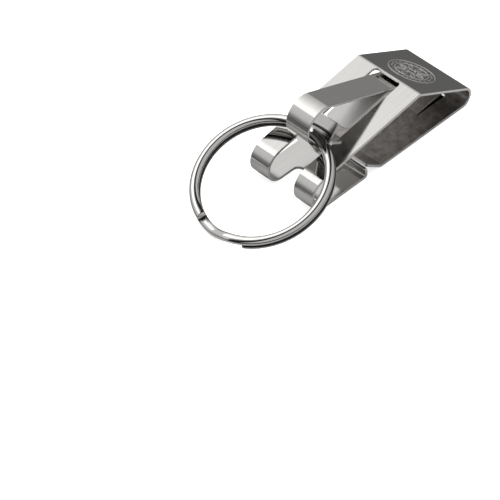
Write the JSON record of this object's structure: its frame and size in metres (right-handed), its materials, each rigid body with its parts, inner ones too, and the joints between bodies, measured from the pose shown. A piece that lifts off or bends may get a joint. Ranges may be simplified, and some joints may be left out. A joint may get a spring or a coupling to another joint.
{
  "type": "belt key clip",
  "caption": "Slip-on belt clip folded from spring steel, with a leaf hook, a keeper leaf and a split ring for keys.",
  "frame": {"origin": "middle of the flat back plate's outer face, which lies against the wearer or on a table", "axes": "+X from the curls towards the nose that hangs over the belt's top edge, +Y along the belt, +Z away from the wearer"},
  "size_m": [0.0712, 0.033, 0.0214],
  "materials": {
    "strap_steel": "polished nickel-plated spring steel",
    "leaf_steel": "polished nickel-plated spring steel leaf",
    "ring_steel": "bright nickel-plated wire"
  },
  "bodies": {
    "clip": {"front_strap": "strap_steel", "hook_tab": "leaf_steel", "keeper_tab": "leaf_steel"},
    "tail": {"tail_plate": "strap_steel"},
    "back": {"back_plate": "strap_steel"},
    "grip": {"grip_tongue": "strap_steel"},
    "hook": {"hook_leaf": "leaf_steel"},
    "keeper": {"keeper_leaf": "leaf_steel"},
    "ring": {"split_ring": "ring_steel"}
  },
  "joints": [
    {"name": "tail_flex", "type": "hinge", "parent": "clip", "child": "tail", "pos_m": [-0.03525, 0, 0.0044], "axis": [0, 1, 0], "range_deg": [0, 25], "stiffness_Nm_per_rad": 0.5},
    {"name": "back_flex", "type": "hinge", "parent": "clip", "child": "back", "pos_m": [0.01545, 0, 0.0028], "axis": [0, 1, 0], "range_deg": [0, 5], "stiffness_Nm_per_rad": 0.5},
    {"name": "grip_flex", "type": "hinge", "parent": "back", "child": "grip", "pos_m": [0.00415, 0, 0.0007], "axis": [0, 1, 0], "range_deg": [0, 8.5], "stiffness_Nm_per_rad": 0.2},
    {"name": "hook_flex", "type": "hinge", "parent": "clip", "child": "hook", "pos_m": [0.00337, 0, 0.01061], "axis": [0, 1, 0], "range_deg": [0, 5.2], "stiffness_Nm_per_rad": 0.5},
    {"name": "keeper_flex", "type": "hinge", "parent": "clip", "child": "keeper", "pos_m": [0.00307, 0, 0.01006], "axis": [0, -1, 0], "range_deg": [0, 7], "stiffness_Nm_per_rad": 0.2},
    {"name": "ring_swing", "type": "hinge", "parent": "hook", "child": "ring", "pos_m": [-0.02522, 0, 0.01258], "axis": [0, 1, 0], "range_deg": [0, 180]}
  ]
}
